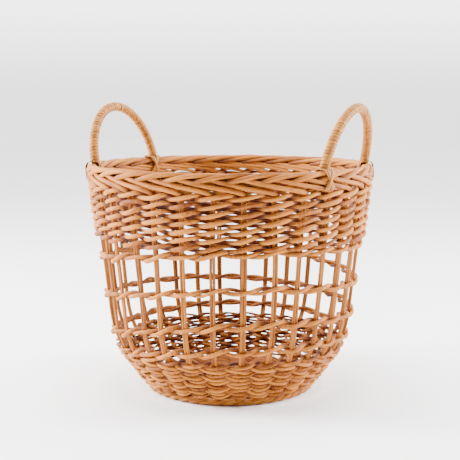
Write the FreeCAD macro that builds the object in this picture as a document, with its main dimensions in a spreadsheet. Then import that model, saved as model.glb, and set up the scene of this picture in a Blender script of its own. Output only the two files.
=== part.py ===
import FreeCAD, Part
import Sketcher
import math
import os

# Round willow basket with an openwork middle and two upright wrapped handles.
# Origin on the floor under the middle of the basket, +Z up, the handles at +X and -X.
# The wall is thirty pairs of upright stakes. Rods are woven round them in level rows
# (pairing) below and above, and in one climbing spiral (two-rod fitching) between.

VERTICAL = FreeCAD.Vector(0, 0, 1)
LEVEL = FreeCAD.Vector(0, 1, 0)

SIZES = [
    # name, millimetres or degrees or a count
    ("stake_pairs", 30),
    ("stake_rod", 2.8),
    ("pair_gap", 0.2),
    ("stake_start_radius", 62),
    ("foot_radius", 92),
    ("lower_lean", 36.9),
    ("knee_height", 63.5),
    ("knee_bend_radius", 110),
    ("wall_lean", 6.5),
    ("prick_bend_radius", 12),
    ("weave_clearance", 0.3),
    ("pairing_rod", 4.1),
    ("pairing_rod_gap", 0.2),
    ("lower_rows", 6),
    ("lower_row_gap", 0.77),
    ("lower_band_lift", 4.2),
    ("upper_rows", 7),
    ("upper_row_gap", 0.5),
    ("fitch_rod", 3.6),
    ("fitch_clearance", 0.9),
    ("fitch_gap", 1.4),
    ("fitch_heading", 160),
    ("climb_1", 14.4),
    ("climb_2", 26.7),
    ("climb_3", 27.7),
    ("climb_4", 24.6),
    ("drift_1", 3),
    ("drift_2", 10.3),
    ("drift_3", 15.4),
    ("drift_4", 4.1),
    ("border_gap", 2.2),
    ("border_height", 20),
    ("border_width", 12.5),
    ("border_round", 5),
    ("foot_height", 7.3),
    ("foot_width", 11.5),
    ("foot_round", 2.5),
    ("foot_outset", 3),
    ("base_gap", 3.2),
    ("base_weave_thickness", 3),
    ("base_stick", 5),
    ("base_clearance", 0.3),
    ("slath_sticks", 4),
    ("slath_reach", 23),
    ("base_edge_gap", 1),
    ("bow_rod", 7),
    ("bow_half_span", 70),
    ("bow_rise", 67),
    ("handle_lean", 11),
    ("leg_inset", 2.4),
    ("leg_clearance", 0.6),
    ("leg_depth", 17.5),
    ("tip_depth", 50),
    ("hole_clearance", 0.3),
    ("wrap_thickness", 1.3),
    ("wrap_clearance", 0.2),
    ("strip_width", 5),
    ("strip_thickness", 1),
    ("strip_rise", 0.5),
    ("strip_clearance", 0.35),
    ("strip_offset", 4.7),
]


def make_sheet(document):
    sheet = document.addObject("Spreadsheet::Sheet", "Sizes")
    for row, (name, value) in enumerate(SIZES, start=1):
        sheet.set(f"A{row}", name.replace("_", " "))
        sheet.set(f"B{row}", str(value))
        sheet.setAlias(f"B{row}", name)
    document.recompute()
    return sheet


def make_values(document, label, rules):
    """Hold worked-out lengths as properties, each bound to an expression."""
    values = document.addObject("App::VarSet", label)
    for name, rule in rules:
        values.addProperty("App::PropertyFloat", name)
        values.setExpression(name, rule)
        document.recompute()
    return values


WALL_RULES = [
    ("corner_radius", "Sizes.foot_radius + Sizes.knee_height * tan(Sizes.lower_lean)"),
    ("bend_reach", "Sizes.knee_bend_radius * tan((Sizes.lower_lean - Sizes.wall_lean) / 2)"),
    ("bend_start", "Sizes.knee_height - Wall.bend_reach * cos(Sizes.lower_lean)"),
    ("bend_end", "Sizes.knee_height + Wall.bend_reach * cos(Sizes.wall_lean)"),
    (
        "bend_centre_radius",
        "Sizes.foot_radius + Wall.bend_start * tan(Sizes.lower_lean)"
        " - Sizes.knee_bend_radius * cos(Sizes.lower_lean)",
    ),
    ("bend_centre_height", "Wall.bend_start + Sizes.knee_bend_radius * sin(Sizes.lower_lean)"),
    (
        "stick_height",
        "Sizes.base_gap + Sizes.base_weave_thickness + Sizes.base_clearance + Sizes.base_stick / 2",
    ),
    ("pair_spacing", "Sizes.stake_rod + Sizes.pair_gap"),
    (
        "foot_inner",
        "Sizes.foot_radius + Wall.stick_height * tan(Sizes.lower_lean)"
        " - Sizes.foot_width + Sizes.foot_outset",
    ),
    ("base_edge", "Wall.foot_inner - Sizes.base_edge_gap"),
    ("pairing_row_height", "2 * (Sizes.pairing_rod + Sizes.pairing_rod_gap)"),
    ("lower_row_rise", "Wall.pairing_row_height * cos(Sizes.lower_lean) + Sizes.lower_row_gap"),
    ("upper_row_rise", "Wall.pairing_row_height * cos(Sizes.wall_lean) + Sizes.upper_row_gap"),
    ("lower_band_bottom", "Sizes.foot_height + Sizes.lower_band_lift"),
    ("lower_band_top", "Wall.lower_band_bottom + Sizes.lower_rows * Wall.lower_row_rise"),
    ("fitch_start", "Wall.lower_band_top + Sizes.fitch_gap + Sizes.fitch_rod / 2 - Sizes.climb_1 / 2"),
    ("fitch_height_1", "Wall.fitch_start + Sizes.climb_1"),
    ("fitch_height_2", "Wall.fitch_height_1 + Sizes.drift_1 + Sizes.climb_2"),
    ("fitch_height_3", "Wall.fitch_height_2 + Sizes.drift_2 + Sizes.climb_3"),
    ("fitch_height_4", "Wall.fitch_height_3 + Sizes.drift_3 + Sizes.climb_4"),
    ("fitch_end", "Wall.fitch_height_4 + Sizes.drift_4"),
    ("upper_band_bottom", "Wall.fitch_end + Sizes.fitch_rod / 2 + Sizes.fitch_gap"),
    ("upper_band_top", "Wall.upper_band_bottom + Sizes.upper_rows * Wall.upper_row_rise"),
    ("border_bottom", "Wall.upper_band_top + Sizes.border_gap"),
    ("border_top", "Wall.border_bottom + Sizes.border_height"),
    (
        "border_radius",
        "Wall.corner_radius + (Wall.border_bottom + Sizes.border_height / 2 - Sizes.knee_height)"
        " * tan(Sizes.wall_lean)",
    ),
    ("stake_top", "Wall.border_bottom - Sizes.strip_thickness - 2 * Sizes.strip_clearance"),
    ("leg_radius", "Wall.border_radius - Sizes.leg_inset"),
    ("bow_top", "Wall.border_top + Sizes.bow_rise"),
    ("leg_room", "asin((Wall.pair_spacing / 2 + Sizes.stake_rod + Sizes.leg_clearance) / Wall.leg_radius)"),
    ("free_reach", "sqrt(Sizes.bow_rise * (2 * Sizes.bow_half_span - Sizes.bow_rise))"),
    ("free_leg_angle", "asin(Wall.free_reach / Wall.leg_radius)"),
    ("nearest_stake", "round(Wall.free_leg_angle * Sizes.stake_pairs / 360) * 360 / Sizes.stake_pairs"),
    (
        "leg_angle",
        "Wall.free_leg_angle < Wall.nearest_stake"
        " ? min(Wall.free_leg_angle; Wall.nearest_stake - Wall.leg_room)"
        " : max(Wall.free_leg_angle; Wall.nearest_stake + Wall.leg_room)",
    ),
    ("leg_reach", "Wall.leg_radius * sin(Wall.leg_angle)"),
    ("bow_distance", "Wall.leg_radius * cos(Wall.leg_angle)"),
    ("bow_radius", "(Wall.leg_reach ^ 2 + Sizes.bow_rise ^ 2) / (2 * Sizes.bow_rise)"),
    ("bow_spring", "Wall.bow_top - Wall.bow_radius"),
    ("leg_bottom", "Wall.border_top - Sizes.leg_depth"),
]


def wall_radius(height):
    """Expression for the stakes' centre-line radius at a height: straight, bend, straight."""
    straight_below = f"Sizes.foot_radius + ({height}) * tan(Sizes.lower_lean)"
    straight_above = f"Wall.corner_radius + (({height}) - Sizes.knee_height) * tan(Sizes.wall_lean)"
    bend = (
        "Wall.bend_centre_radius + sqrt(Sizes.knee_bend_radius ^ 2"
        f" - (({height}) - Wall.bend_centre_height) ^ 2)"
    )
    above = f"(({height}) > Wall.bend_end ? {straight_above} : {bend})"
    return f"(({height}) < Wall.bend_start ? {straight_below} : {above})"


def wall_lean(height):
    """Expression for the wall's lean from upright at a height, in degrees."""
    bend = f"asin((Wall.bend_centre_height - ({height})) / Sizes.knee_bend_radius)"
    above = f"(({height}) > Wall.bend_end ? Sizes.wall_lean * 1deg : {bend})"
    return f"(({height}) < Wall.bend_start ? Sizes.lower_lean * 1deg : {above})"


def make_group(document, name, members):
    group = document.addObject("Part::Compound", name)
    group.Links = members
    group.Label = name
    return group


def make_ring(document, name, height, outwards, along, rod):
    """A level rod round the wall, moved outwards from and along the stakes' centre line."""
    ring = document.addObject("Part::Torus", name)
    lean = wall_lean(height)
    ring.setExpression(
        "Radius1",
        f"{wall_radius(height)} + ({outwards}) * cos({lean}) + ({along}) * sin({lean})",
    )
    ring.setExpression("Radius2", f"{rod} / 2")
    ring.setExpression("Placement.Base.z", f"{height} - ({outwards}) * sin({lean}) + ({along}) * cos({lean})")
    return ring


def make_pairing_row(document, name, height):
    """Two rods that pair round the stakes: one lies outside and high, the other inside and low."""
    reach = "(Sizes.stake_rod / 2 + Sizes.weave_clearance + Sizes.pairing_rod / 2)"
    half_step = "(Sizes.pairing_rod + Sizes.pairing_rod_gap) / 2"
    rods = [
        make_ring(document, name + "_rod_outside", height, reach, half_step, "Sizes.pairing_rod"),
        make_ring(document, name + "_rod_inside", height, f"-{reach}", f"-{half_step}", "Sizes.pairing_rod"),
    ]
    return make_group(document, name, rods)


def make_half_turn(document, name, start, end, heading, side, sweep_start=0):
    """Half a turn of fitching: a tilted half ring whose two ends are level with the rows there.

    It starts at heading degrees round the basket and climbs from the start height to the end height.
    side is 1 outside the stakes and -1 inside them. sweep_start leaves out that much of its beginning.
    """
    reach = f"{side} * (Sizes.stake_rod / 2 + Sizes.fitch_clearance + Sizes.fitch_rod / 2)"
    start_radius = f"({wall_radius(start)} + {reach})"
    end_radius = f"({wall_radius(end)} + {reach})"
    half_turn = document.addObject("Part::Torus", name)
    span = f"({start_radius} + {end_radius})"
    half_turn.setExpression("Radius1", f"sqrt({span} ^ 2 + ({end} - {start}) ^ 2) / 2")
    half_turn.setExpression("Radius2", "Sizes.fitch_rod / 2")
    half_turn.Angle3 = 180 - sweep_start
    document.recompute()
    low = half_turn.evalExpression(start)
    high = half_turn.evalExpression(end)
    low_radius = half_turn.evalExpression(start_radius)
    high_radius = half_turn.evalExpression(end_radius)
    tilt = math.degrees(math.atan2(high - low, low_radius + high_radius))
    turn = FreeCAD.Rotation(VERTICAL, heading) * FreeCAD.Rotation(LEVEL, tilt)
    middle = FreeCAD.Vector((low_radius - high_radius) / 2, 0, (low + high) / 2)
    place = FreeCAD.Rotation(VERTICAL, heading).multVec(middle)
    half_turn.Placement = FreeCAD.Placement(place, turn * FreeCAD.Rotation(VERTICAL, sweep_start))
    return half_turn


def make_fitch_turn(document, name, number, heading):
    """One turn of the spiral: an outer and an inner rod, each a steep half and a shallow half."""
    start = "Wall.fitch_start"
    if number > 1:
        start = f"(Wall.fitch_height_{number - 1} + Sizes.drift_{number - 1})"
    middle = f"Wall.fitch_height_{number}"
    end = f"({middle} + Sizes.drift_{number})"
    hidden_start = 90 if number == 1 else 0
    rods = []
    for side, word in ((1, "outside"), (-1, "inside")):
        steep = make_half_turn(document, f"{name}_{word}_climb", start, middle, heading, side, hidden_start)
        shallow = make_half_turn(document, f"{name}_{word}_drift", middle, end, heading + 180, side)
        rod = document.addObject("Part::MultiFuse", f"{name}_{word}")
        rod.Shapes = [steep, shallow]
        rods.append(rod)
    return make_group(document, name, rods)


def stake_path(sheet, wall):
    """Centre line of a stake in the X-Z plane: out of the base, pricked up, then up the wall."""
    lower = math.radians(sheet.lower_lean)
    upper = math.radians(sheet.wall_lean)
    lift = wall.stick_height
    prick_turn = math.pi / 2 - lower
    prick_reach = sheet.prick_bend_radius * math.tan(prick_turn / 2)
    corner = FreeCAD.Vector(sheet.foot_radius + lift * math.tan(lower), 0, lift)
    up_wall = FreeCAD.Vector(math.sin(lower), 0, math.cos(lower))
    knee = FreeCAD.Vector(wall.corner_radius, 0, sheet.knee_height)
    up_rim = FreeCAD.Vector(math.sin(upper), 0, math.cos(upper))
    start = FreeCAD.Vector(sheet.stake_start_radius, 0, lift)
    prick_in = corner - FreeCAD.Vector(prick_reach, 0, 0)
    prick_out = corner + up_wall * prick_reach
    knee_in = knee - up_wall * wall.bend_reach
    knee_out = knee + up_rim * wall.bend_reach
    top = knee + up_rim * ((wall.stake_top - sheet.knee_height) / math.cos(upper))
    prick_centre = prick_in + FreeCAD.Vector(0, 0, sheet.prick_bend_radius)
    knee_centre = FreeCAD.Vector(wall.bend_centre_radius, 0, wall.bend_centre_height)

    def bend(first, centre, last):
        towards = ((first - centre) + (last - centre)).normalize()
        return Part.Arc(first, centre + towards * (first - centre).Length, last).toShape()

    return Part.Wire(
        [
            Part.LineSegment(start, prick_in).toShape(),
            bend(prick_in, prick_centre, prick_out),
            Part.LineSegment(prick_out, knee_in).toShape(),
            bend(knee_in, knee_centre, knee_out),
            Part.LineSegment(knee_out, top).toShape(),
        ]
    )


def make_stake_rod(document, name, sheet, wall, offset):
    """A stake as one round rod swept along its path, offset sideways from the pair's middle."""
    path = stake_path(sheet, wall)
    radius = sheet.stake_rod / 2
    start = path.Vertexes[0].Point
    section = Part.Wire(Part.makeCircle(radius, start, FreeCAD.Vector(1, 0, 0)))
    rod = document.addObject("Part::Feature", name)
    shape = path.makePipeShell([section], True, False)
    if abs(shape.Volume - math.pi * radius**2 * path.Length) > 0.01 * shape.Volume:
        raise ValueError("the stake's volume does not match its length")
    rod.Shape = shape
    rod.Placement = FreeCAD.Placement(FreeCAD.Vector(0, offset, 0), FreeCAD.Rotation())
    return rod


def origin_plane(body, role):
    return next(feature for feature in body.Origin.OriginFeatures if feature.Role == role)


def make_sketch(body, name, role):
    sketch = body.newObject("Sketcher::SketchObject", name)
    sketch.AttachmentSupport = [(origin_plane(body, role), "")]
    sketch.MapMode = "FlatFace"
    return sketch


def bind(sketch, kind, *arguments, rule):
    """Add a dimension to a sketch and bind it to an expression."""
    index = sketch.addConstraint(Sketcher.Constraint(kind, *arguments))
    sketch.setExpression(f"Constraints[{index}]", rule)


def add_box_outline(sketch, inner, bottom, width, height):
    """A rectangle in the X-Z plane, placed and sized by four expressions."""
    corners = [FreeCAD.Vector(x, y, 0) for x, y in ((1, 1), (2, 1), (2, 2), (1, 2))]
    for first, last in zip(corners, corners[1:] + corners[:1]):
        sketch.addGeometry(Part.LineSegment(first, last))
    for side in range(4):
        sketch.addConstraint(Sketcher.Constraint("Coincident", side, 2, (side + 1) % 4, 1))
    for side, kind in ((0, "Horizontal"), (1, "Vertical"), (2, "Horizontal"), (3, "Vertical")):
        sketch.addConstraint(Sketcher.Constraint(kind, side))
    bind(sketch, "DistanceX", -1, 1, 0, 1, 100, rule=inner)
    bind(sketch, "DistanceY", -1, 1, 0, 1, 1, rule=bottom)
    bind(sketch, "DistanceX", 0, 1, 0, 2, 1, rule=width)
    bind(sketch, "DistanceY", 1, 1, 1, 2, 1, rule=height)


def make_turned_ring(document, name, inner, bottom, width, height):
    """A ring of rectangular section turned about the Z axis."""
    body = document.addObject("PartDesign::Body", name)
    body.Label = name
    sketch = make_sketch(body, name + "_section", "XZ_Plane")
    add_box_outline(sketch, inner, bottom, width, height)
    document.recompute()
    ring = body.newObject("PartDesign::Revolution", name + "_turned")
    ring.Profile = sketch
    ring.ReferenceAxis = (sketch, ["V_Axis"])
    ring.Angle = 360
    sketch.Visibility = False
    document.recompute()
    return body, ring


def round_edges(document, body, base, rule, wanted):
    """Round the ring edges that wanted(edge height is low, edge) chooses."""
    low = base.Shape.BoundBox.ZMin + base.Shape.BoundBox.ZLength / 2
    names = [
        f"Edge{number}"
        for number, edge in enumerate(base.Shape.Edges, start=1)
        if isinstance(edge.Curve, Part.Circle) and wanted(edge.BoundBox.ZMax > low)
    ]
    fillet = body.newObject("PartDesign::Fillet", base.Name + "_rounded")
    fillet.Base = (base, names)
    fillet.setExpression("Radius", rule)
    document.recompute()
    return fillet


def make_border(document):
    """The plaited border as a rounded ring with four holes for the handle legs."""
    inner = "Wall.border_radius - Sizes.border_width / 2"
    body, ring = make_turned_ring(
        document, "rim_border", inner, "Wall.border_bottom", "Sizes.border_width", "Sizes.border_height"
    )
    round_edges(document, body, ring, "Sizes.border_round", lambda is_high: True)
    holes = make_sketch(body, "leg_holes", "XY_Plane")
    for index, (x, y) in enumerate(((1, 1), (-1, 1), (-1, -1), (1, -1))):
        centre = FreeCAD.Vector(140 * x, 70 * y, 0)
        holes.addGeometry(Part.Circle(centre, VERTICAL, 4))
        bind(holes, "Radius", index, 4, rule="Sizes.bow_rod / 2 + Sizes.hole_clearance")
        ends_x = (-1, 1, index, 3) if x > 0 else (index, 3, -1, 1)
        ends_y = (-1, 1, index, 3) if y > 0 else (index, 3, -1, 1)
        bind(holes, "DistanceX", *ends_x, 140, rule="Wall.bow_distance")
        bind(holes, "DistanceY", *ends_y, 70, rule="Wall.leg_reach")
    document.recompute()
    before = body.Shape.Volume
    pocket = body.newObject("PartDesign::Pocket", "leg_hole_cuts")
    pocket.Profile = holes
    pocket.Type = "ThroughAll"
    pocket.Midplane = True
    document.recompute()
    if not pocket.Shape.Volume < before:
        raise ValueError("the leg holes cut nothing")
    return body


def make_foot(document):
    """The foot border: a ring with a flat underside that the basket stands on."""
    body, ring = make_turned_ring(
        document, "foot_border", "Wall.foot_inner", "0", "Sizes.foot_width", "Sizes.foot_height"
    )
    round_edges(document, body, ring, "Sizes.foot_round", lambda is_high: is_high)
    return body


def make_base_layer(document, name, bottom, radius):
    """One face of the base weave: the rods that pass under, or over, the spokes."""
    body, _ = make_turned_ring(
        document,
        name,
        "Sizes.slath_reach + 2 * Sizes.base_clearance",
        bottom,
        f"{radius} - Sizes.slath_reach - 2 * Sizes.base_clearance",
        "Sizes.base_weave_thickness",
    )
    return body


def make_stick(document, name, radius, length, place, turn):
    stick = document.addObject("Part::Cylinder", name)
    stick.setExpression("Radius", radius)
    stick.setExpression("Height", length)
    for axis, rule in zip("xyz", place):
        stick.setExpression(f"Placement.Base.{axis}", rule)
    stick.Placement.Rotation = turn
    return stick


def make_base_sticks(document, sheet):
    """The slath: short lengths crossing in two layers, and the ends opened out as spokes."""
    along_x = FreeCAD.Rotation(LEVEL, 90)
    along_y = FreeCAD.Rotation(FreeCAD.Vector(1, 0, 0), -90)
    layers = []
    for name, turn, side in (("slath_sticks_under", along_x, -1), ("slath_sticks_over", along_y, 1)):
        sticks = []
        for number in range(int(sheet.slath_sticks)):
            across = (
                f"({number} - (Sizes.slath_sticks - 1) / 2) * (Sizes.base_stick + Sizes.base_clearance)"
            )
            back = f"-sqrt(Sizes.slath_reach ^ 2 - ({across}) ^ 2) + 2 * Sizes.base_clearance"
            height = f"Wall.stick_height + {side} * (Sizes.base_stick + Sizes.base_clearance) / 2"
            place = (back, across, height) if side < 0 else (across, back, height)
            length = f"-2 * ({back})"
            sticks.append(
                make_stick(document, f"{name}_{number + 1}", "Sizes.base_stick / 2", length, place, turn)
            )
        layers.append(make_group(document, name, sticks))
    spokes = []
    # One spoke for every two stake pairs, in every second gap between the pairs.
    for number in range(int(sheet.stake_pairs) // 2):
        heading = f"({2 * number} + 0.5) * 360 / Sizes.stake_pairs"
        start = "(Sizes.slath_reach + 3 * Sizes.base_clearance)"
        place = (f"{start} * cos({heading})", f"{start} * sin({heading})", "Wall.stick_height")
        length = f"Wall.base_edge - {start}"
        angle = (2 * number + 0.5) * 360 / sheet.stake_pairs
        turn = FreeCAD.Rotation(VERTICAL, angle) * along_x
        spokes.append(
            make_stick(document, f"spoke_{number + 1}", "Sizes.base_stick / 2", length, place, turn)
        )
    return layers + [make_group(document, "base_spokes", spokes)]


def bow_path(sheet, wall, from_height):
    """The handle's arc above a height, upright, in the plane of one handle at +X."""
    x = wall.bow_distance
    reach = math.sqrt(wall.bow_radius**2 - (from_height - wall.bow_spring) ** 2)
    near = FreeCAD.Vector(x, -reach, from_height)
    top = FreeCAD.Vector(x, 0, wall.bow_top)
    far = FreeCAD.Vector(x, reach, from_height)
    return Part.Wire([Part.Arc(near, top, far).toShape()])


def lean_out(shape, sheet, wall):
    """Tilt an upright arc outwards about the line between its two legs."""
    leaning = shape.copy()
    leaning.rotate(FreeCAD.Vector(wall.bow_distance, 0, wall.border_top), LEVEL, sheet.handle_lean)
    return leaning


def sweep_round(path, radius):
    first = path.Edges[0]
    direction = first.tangentAt(first.FirstParameter)
    section = Part.Wire(Part.makeCircle(radius, first.valueAt(first.FirstParameter), direction))
    return path.makePipeShell([section], True, False)


def make_bow(document, sheet, wall):
    """The handle's core: a leaning arc, two upright legs, and thin cut tips between the weavers."""
    core_radius = sheet.bow_rod / 2
    shape = lean_out(sweep_round(bow_path(sheet, wall, wall.border_top), core_radius), sheet, wall)
    lean = math.radians(sheet.wall_lean)
    tip_top = wall.leg_bottom + sheet.stake_rod
    for side in (-1, 1):
        leg_top = FreeCAD.Vector(wall.bow_distance, side * wall.leg_reach, wall.border_top)
        leg_base = FreeCAD.Vector(leg_top.x, leg_top.y, wall.leg_bottom)
        leg = Part.makeCylinder(core_radius, leg_top.z - leg_base.z, leg_base, VERTICAL)
        knuckle = Part.makeSphere(core_radius, leg_top)
        angle = side * math.radians(wall.leg_angle)
        outward = FreeCAD.Vector(math.cos(angle), math.sin(angle), 0)
        along = outward * math.sin(lean) + VERTICAL * math.cos(lean)
        bottom_height = wall.border_bottom - sheet.tip_depth
        radius = wall.corner_radius + (bottom_height - sheet.knee_height) * math.tan(lean)
        bottom = outward * radius + VERTICAL * bottom_height
        length = (tip_top - bottom_height) / math.cos(lean)
        tip = Part.makeCylinder(sheet.stake_rod / 2, length, bottom, along)
        shape = shape.fuse([leg, knuckle, tip])
    bow = document.addObject("Part::Feature", "handle_core")
    bow.Shape = shape.removeSplitter()
    bow.Placement = FreeCAD.Placement()
    if len(bow.Shape.Solids) != 1:
        raise ValueError("the handle's core came apart")
    return bow


def make_wrap(document, sheet, wall):
    """The flat cane wound round the bow, as one sleeve."""
    path = bow_path(sheet, wall, wall.border_top + 2 * sheet.strip_thickness)
    inner = sheet.bow_rod / 2 + sheet.wrap_clearance
    sleeve = sweep_round(path, inner + sheet.wrap_thickness).cut(sweep_round(path, inner))
    wrap = document.addObject("Part::Feature", "handle_sleeve")
    wrap.Shape = lean_out(sleeve, sheet, wall)
    return wrap


def make_lashing(document, name, side):
    """Two strips that run under the border beside a leg and up both of its faces."""
    strips = []
    for place in (-1, 1):
        label = f"{name}_strip_{place + 2}"
        outer = document.addObject("Part::Box", label + "_outer")
        inner = document.addObject("Part::Box", label + "_inner")
        clearance = "Sizes.strip_clearance"
        width = f"Sizes.border_width + 2 * {clearance}"
        outer.setExpression("Length", f"{width} + 2 * Sizes.strip_thickness")
        inner.setExpression("Length", width)
        outer.setExpression("Width", "Sizes.strip_width")
        inner.setExpression("Width", "Sizes.strip_width * 2")
        rise = f"Sizes.border_height + {clearance} + Sizes.strip_rise"
        outer.setExpression("Height", f"{rise} + Sizes.strip_thickness")
        inner.setExpression("Height", f"{rise} + Sizes.strip_thickness")
        half = f"Wall.border_radius - ({width}) / 2"
        outer.setExpression("Placement.Base.x", f"{half} - Sizes.strip_thickness")
        inner.setExpression("Placement.Base.x", half)
        middle = f"{place} * Sizes.strip_offset - Sizes.strip_width"
        outer.setExpression("Placement.Base.y", f"{middle} + Sizes.strip_width / 2")
        inner.setExpression("Placement.Base.y", middle)
        under = f"Wall.border_bottom - {clearance}"
        outer.setExpression("Placement.Base.z", f"{under} - Sizes.strip_thickness")
        inner.setExpression("Placement.Base.z", under)
        strip = document.addObject("Part::Cut", label)
        strip.Base = outer
        strip.Tool = inner
        strips.append(strip)
    lashing = make_group(document, name, strips)
    lashing.setExpression("Placement.Rotation.Angle", f"{side} * Wall.leg_angle")
    return lashing


def turned_copy(document, name, members, angle):
    """The same pieces, turned about the Z axis."""
    group = make_group(document, name, members)
    group.Placement = FreeCAD.Placement(FreeCAD.Vector(0, 0, 0), FreeCAD.Rotation(VERTICAL, angle))
    return group


def build(document):
    sheet = make_sheet(document)
    wall = make_values(document, "Wall", WALL_RULES)
    nodes = []

    left_rod = make_stake_rod(document, "stake_rod_left", sheet, wall, wall.pair_spacing / 2)
    right_rod = make_stake_rod(document, "stake_rod_right", sheet, wall, -wall.pair_spacing / 2)
    pairs = int(sheet.stake_pairs)
    for number in range(pairs):
        name = f"stake_pair_{number + 1:02d}"
        nodes.append(turned_copy(document, name, [left_rod, right_rod], number * 360 / pairs))

    for number in range(int(sheet.lower_rows)):
        height = f"(Wall.lower_band_bottom + {number + 0.5} * Wall.lower_row_rise)"
        nodes.append(make_pairing_row(document, f"lower_pairing_row_{number + 1}", height))
    for number in range(1, 5):
        nodes.append(make_fitch_turn(document, f"fitch_turn_{number}", number, sheet.fitch_heading))
    for number in range(int(sheet.upper_rows)):
        height = f"(Wall.upper_band_bottom + {number + 0.5} * Wall.upper_row_rise)"
        nodes.append(make_pairing_row(document, f"upper_pairing_row_{number + 1}", height))

    nodes.append(make_border(document))
    nodes.append(make_foot(document))
    nodes.extend(make_base_sticks(document, sheet))
    above = "Wall.stick_height + Sizes.base_stick / 2 + Sizes.base_clearance"
    edge = "(Sizes.foot_radius - Sizes.base_edge_gap)"
    nodes.append(make_base_layer(document, "base_weave_under", "Sizes.base_gap", "Wall.base_edge"))
    nodes.append(make_base_layer(document, "base_weave_over", above, edge))

    core = make_bow(document, sheet, wall)
    sleeve = make_wrap(document, sheet, wall)
    lashings = [make_lashing(document, "lashing_front", -1), make_lashing(document, "lashing_back", 1)]
    document.recompute()
    for hand, angle in (("right", 0), ("left", 180)):
        nodes.append(turned_copy(document, f"handle_{hand}_bow", [core], angle))
        nodes.append(turned_copy(document, f"handle_{hand}_wrap", [sleeve], angle))
        nodes.append(turned_copy(document, f"handle_{hand}_lashings", lashings, angle))
    document.recompute()
    return nodes


def check(document, nodes):
    for item in document.Objects:
        if "Invalid" in item.State or "Error" in item.State:
            raise ValueError(f"{item.Name} failed: {item.State}")
    for node in nodes:
        if node.Shape.isNull() or not node.Shape.isValid():
            raise ValueError(f"{node.Label} has no valid shape")


def main():
    document = FreeCAD.newDocument("willow_basket")
    nodes = build(document)
    check(document, nodes)
    os.makedirs("parts", exist_ok=True)
    for node in nodes:
        node.Shape.exportStep(f"parts/{node.Label}.step")
    box = nodes[0].Shape.BoundBox
    for node in nodes[1:]:
        box.add(node.Shape.BoundBox)
    print(f"{len(nodes)} nodes, {box.XLength:.1f} x {box.YLength:.1f} x {box.ZLength:.1f} mm")


main()
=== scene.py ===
# %% [markdown]
# # A willow basket, rod by rod
#
# This lesson builds a round willow basket with an openwork middle and two hoop handles.
# The frame already holds every piece at its true place and size, drawn as plain rings and rods.
# Here each plain piece is replaced by the rods that a basket maker would work, woven round
# the stakes in the order that the craft uses.

# %% Load the frame
import math

import bpy
import numpy as np
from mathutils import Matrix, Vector


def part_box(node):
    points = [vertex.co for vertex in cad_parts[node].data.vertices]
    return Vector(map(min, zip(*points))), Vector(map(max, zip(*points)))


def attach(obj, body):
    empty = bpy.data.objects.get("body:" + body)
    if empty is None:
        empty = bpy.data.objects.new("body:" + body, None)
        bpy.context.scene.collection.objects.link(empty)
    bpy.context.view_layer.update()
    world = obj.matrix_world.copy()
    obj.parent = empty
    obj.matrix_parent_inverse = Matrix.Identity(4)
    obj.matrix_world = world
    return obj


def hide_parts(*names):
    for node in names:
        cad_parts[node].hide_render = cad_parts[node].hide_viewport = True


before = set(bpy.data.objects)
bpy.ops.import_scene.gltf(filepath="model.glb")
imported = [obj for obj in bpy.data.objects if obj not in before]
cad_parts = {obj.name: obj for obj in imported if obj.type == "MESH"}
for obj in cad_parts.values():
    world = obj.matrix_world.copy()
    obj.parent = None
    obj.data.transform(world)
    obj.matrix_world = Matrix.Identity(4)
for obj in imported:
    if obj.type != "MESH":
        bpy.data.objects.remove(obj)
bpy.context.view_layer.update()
print("pieces in the frame:", len(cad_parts))

# %% [markdown]
# ## Sizes
#
# All lengths are metres. Heights and radii come from the boxes of the frame's own pieces.
# The few that a box can't tell, such as the wall's lean, are named here.

# %% Named sizes
MM = 0.001
STAKE_PAIRS = 30
STAKE_RADIUS = 1.7 * MM
PAIR_HALF_SPACING = 1.5 * MM
PAIRING_RADIUS = 2.45 * MM
FITCH_RADIUS = 2.4 * MM
BASE_ROD_RADIUS = 1.5 * MM
FOOT_RADIUS = 92 * MM
KNEE_HEIGHT = 63.5 * MM
KNEE_BEND_RADIUS = 110 * MM
LOWER_LEAN = math.radians(36.9)
WALL_LEAN = math.radians(6.5)
SPACING = 2 * math.pi / STAKE_PAIRS
VIEW_HEADING = math.radians(25)

LOWER_ROWS = sorted(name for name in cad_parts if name.startswith("lower_pairing_row"))
UPPER_ROWS = sorted(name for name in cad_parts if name.startswith("upper_pairing_row"))
FITCH_TURNS = sorted(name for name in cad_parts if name.startswith("fitch_turn"))
STAKES = sorted(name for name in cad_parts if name.startswith("stake_pair"))
print("rows:", len(LOWER_ROWS), "below,", len(FITCH_TURNS), "open,", len(UPPER_ROWS), "above")

# %% [markdown]
# ## The wall's line
#
# The stakes share one profile: straight and leaning out above the foot, a gentle knee, and
# straight again to the rim. Every weaver follows that line, a little outside or inside it, so
# one function gives the radius and the lean of the wall at any height.

# %% Wall profile
CORNER_RADIUS = FOOT_RADIUS + KNEE_HEIGHT * math.tan(LOWER_LEAN)
BEND_REACH = KNEE_BEND_RADIUS * math.tan((LOWER_LEAN - WALL_LEAN) / 2)
BEND_START = KNEE_HEIGHT - BEND_REACH * math.cos(LOWER_LEAN)
BEND_END = KNEE_HEIGHT + BEND_REACH * math.cos(WALL_LEAN)
BEND_CENTRE_RADIUS = (
    FOOT_RADIUS + BEND_START * math.tan(LOWER_LEAN) - KNEE_BEND_RADIUS * math.cos(LOWER_LEAN)
)
BEND_CENTRE_HEIGHT = BEND_START + KNEE_BEND_RADIUS * math.sin(LOWER_LEAN)


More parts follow.
